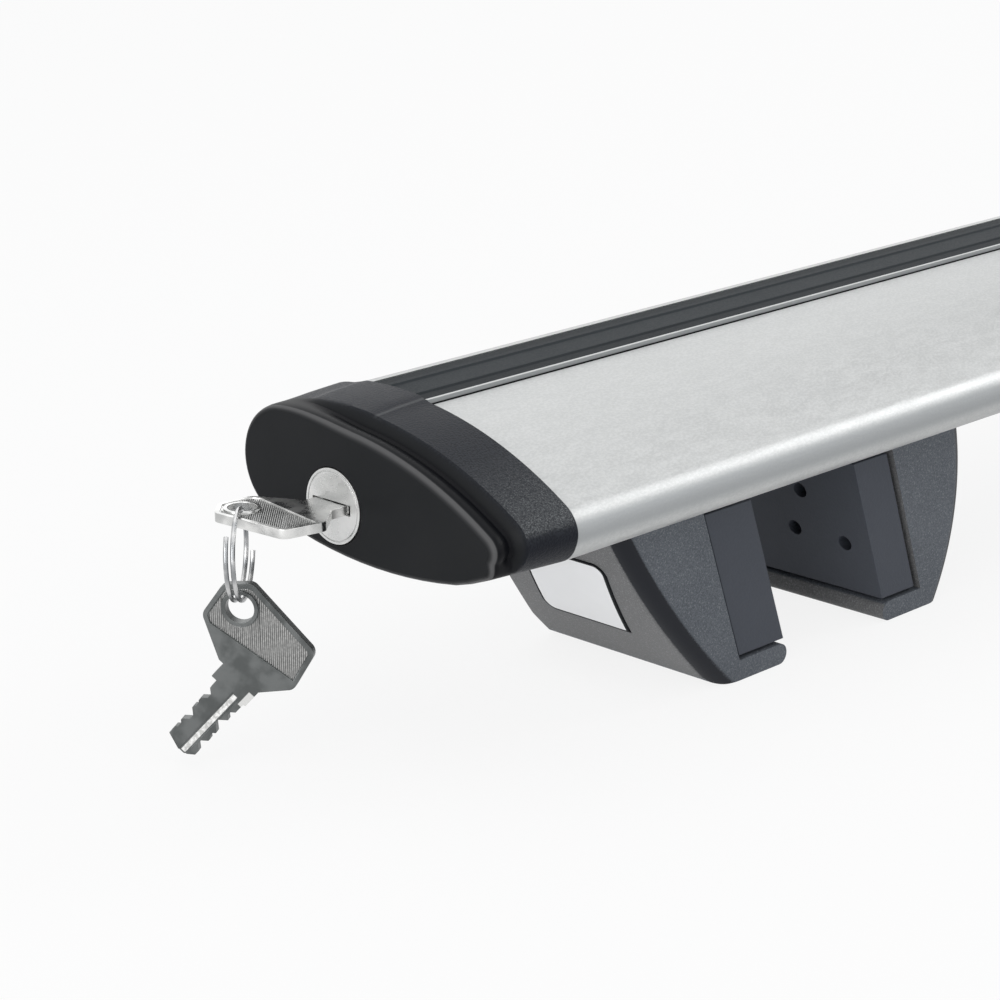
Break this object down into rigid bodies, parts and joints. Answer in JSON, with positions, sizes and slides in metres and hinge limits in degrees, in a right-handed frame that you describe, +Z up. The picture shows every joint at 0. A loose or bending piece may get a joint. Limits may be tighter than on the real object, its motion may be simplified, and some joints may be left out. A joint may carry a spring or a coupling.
{
  "type": "roof rack crossbar",
  "caption": "Aerofoil aluminium roof rack crossbar with rubber-covered accessory slot, locking end caps with key, and screw-clamped feet for raised roof rails.",
  "frame": {"origin": "top of the slot rails at mid length, on the centre line of the accessory slot", "axes": "+X along the bar, -Y to its trailing edge, +Z up"},
  "size_m": [1.209, 0.0773, 0.0734],
  "materials": {
    "anodised_aluminium": "satin anodised",
    "cast_aluminium": "cast",
    "strip_rubber": "matte",
    "pad_rubber": "matte",
    "black_plastic": "fine texture",
    "dark_nylon": "grained",
    "white_plastic": "gloss",
    "nickel": "nickel plated",
    "zinc": "zinc die cast",
    "steel": "zinc plated"
  },
  "bodies": {
    "bar": {"crossbar_profile": "anodised_aluminium", "slot_strip": "strip_rubber"},
    "left_cap": {"left_end_cap": "black_plastic", "left_lock_sleeve": "zinc"},
    "left_lock": {"left_lock_plug": "nickel", "left_lock_cam": "steel", "left_cam_screw": "steel"},
    "left_foot": {"left_outer_anchor": "cast_aluminium", "left_outer_jaw": "dark_nylon", "left_outer_pad": "pad_rubber", "left_badge_plate": "white_plastic", "left_outer_jaw_screw": "steel", "left_screw_washer": "steel"},
    "left_screw": {"left_clamp_screw": "steel"},
    "left_inner_foot": {"left_inner_anchor": "cast_aluminium", "left_inner_jaw": "dark_nylon", "left_inner_pad": "pad_rubber", "left_clamp_nut": "steel", "left_inner_jaw_screw": "steel"},
    "right_cap": {"right_end_cap": "black_plastic", "right_lock_sleeve": "zinc"},
    "right_lock": {"right_lock_plug": "nickel", "right_lock_cam": "steel", "right_cam_screw": "steel"},
    "right_foot": {"right_outer_anchor": "cast_aluminium", "right_outer_jaw": "dark_nylon", "right_outer_pad": "pad_rubber", "right_badge_plate": "white_plastic", "right_outer_jaw_screw": "steel", "right_screw_washer": "steel"},
    "right_screw": {"right_clamp_screw": "steel"},
    "right_inner_foot": {"right_inner_anchor": "cast_aluminium", "right_inner_jaw": "dark_nylon", "right_inner_pad": "pad_rubber", "right_clamp_nut": "steel", "right_inner_jaw_screw": "steel"},
    "key": {"key": "nickel"},
    "split_ring": {"split_ring": "nickel"},
    "spare_key": {"spare_key": "nickel"}
  },
  "joints": [
    {"name": "left_cap_slide", "type": "slide", "parent": "bar", "child": "left_cap", "axis": [-1, 0, 0], "range_m": [0, 0.04]},
    {"name": "left_lock_turn", "type": "hinge", "parent": "left_cap", "child": "left_lock", "pos_m": [-0.568, -0.004, -0.019], "axis": [1, 0, 0], "range_deg": [0, 90]},
    {"name": "left_foot_slide", "type": "slide", "parent": "bar", "child": "left_foot", "axis": [1, 0, 0], "range_m": [-0.015, 0.2]},
    {"name": "left_screw_turn", "type": "hinge", "parent": "left_foot", "child": "left_screw", "pos_m": [-0.54162, -0.016, -0.022], "axis": [1, 0, 0], "range_deg": [-3240, 5040]},
    {"name": "left_inner_slide", "type": "slide", "parent": "left_foot", "child": "left_inner_foot", "axis": [1, 0, 0], "range_m": [-0.014, 0.009]},
    {"name": "right_cap_slide", "type": "slide", "parent": "bar", "child": "right_cap", "axis": [1, 0, 0], "range_m": [0, 0.04]},
    {"name": "right_lock_turn", "type": "hinge", "parent": "right_cap", "child": "right_lock", "pos_m": [0.568, -0.004, -0.019], "axis": [1, 0, 0], "range_deg": [0, 90]},
    {"name": "right_foot_slide", "type": "slide", "parent": "bar", "child": "right_foot", "axis": [-1, 0, 0], "range_m": [-0.015, 0.2]},
    {"name": "right_screw_turn", "type": "hinge", "parent": "right_foot", "child": "right_screw", "pos_m": [0.54162, -0.016, -0.022], "axis": [-1, 0, 0], "range_deg": [-3240, 5040]},
    {"name": "right_inner_slide", "type": "slide", "parent": "right_foot", "child": "right_inner_foot", "axis": [-1, 0, 0], "range_m": [-0.014, 0.009]},
    {"name": "key_pull", "type": "slide", "parent": "left_lock", "child": "key", "axis": [-1, 0, 0], "range_m": [0, 0.022]},
    {"name": "ring_swing", "type": "hinge", "parent": "key", "child": "split_ring", "pos_m": [-0.60904, 0.00322, -0.0171], "axis": [0.7738, 0.6334, 0], "range_deg": [-12, 12]},
    {"name": "spare_key_swing", "type": "hinge", "parent": "split_ring", "child": "spare_key", "pos_m": [-0.60904, 0.00322, -0.0355], "axis": [0.829, 0.5592, 0], "range_deg": [-15, 15]}
  ],
  "couplings": [
    {"joint": "left_screw_turn", "follows": "left_inner_slide", "rad_per_m": -6283.2},
    {"joint": "right_screw_turn", "follows": "right_inner_slide", "rad_per_m": -6283.2}
  ]
}
